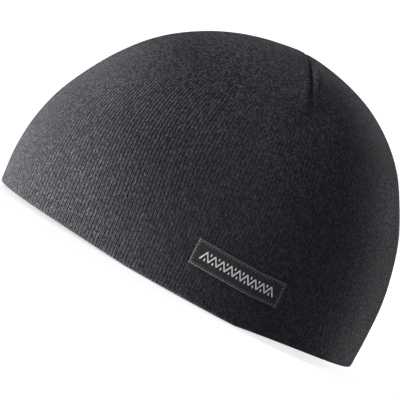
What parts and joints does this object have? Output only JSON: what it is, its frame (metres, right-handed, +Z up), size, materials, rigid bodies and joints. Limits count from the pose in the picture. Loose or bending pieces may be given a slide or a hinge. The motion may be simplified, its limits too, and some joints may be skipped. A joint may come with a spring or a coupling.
{
  "type": "flame-resistant knit beanie",
  "caption": "Close-fitting domed knit cap in charcoal flame-resistant yarn, with crown darts and a small woven label at its left rim.",
  "frame": {"origin": "on the floor under the middle of the cap's outer box, in the plane that the rim rests on", "axes": "+Z up from the rim to the crown, +X towards the wearer's back of head (the forehead is at -X), +Y towards the wearer's right (the label is at -Y)"},
  "size_m": [0.2079, 0.1708, 0.1356],
  "materials": {
    "knit": "fine heathered charcoal rib-free knit, matt, slightly fuzzy",
    "label_weave": "dense woven ribbon, black-brown, satin sheen, grey woven ornament"
  },
  "bodies": {
    "root": {"knit_shell": "knit", "label": "label_weave"}
  },
  "joints": []
}
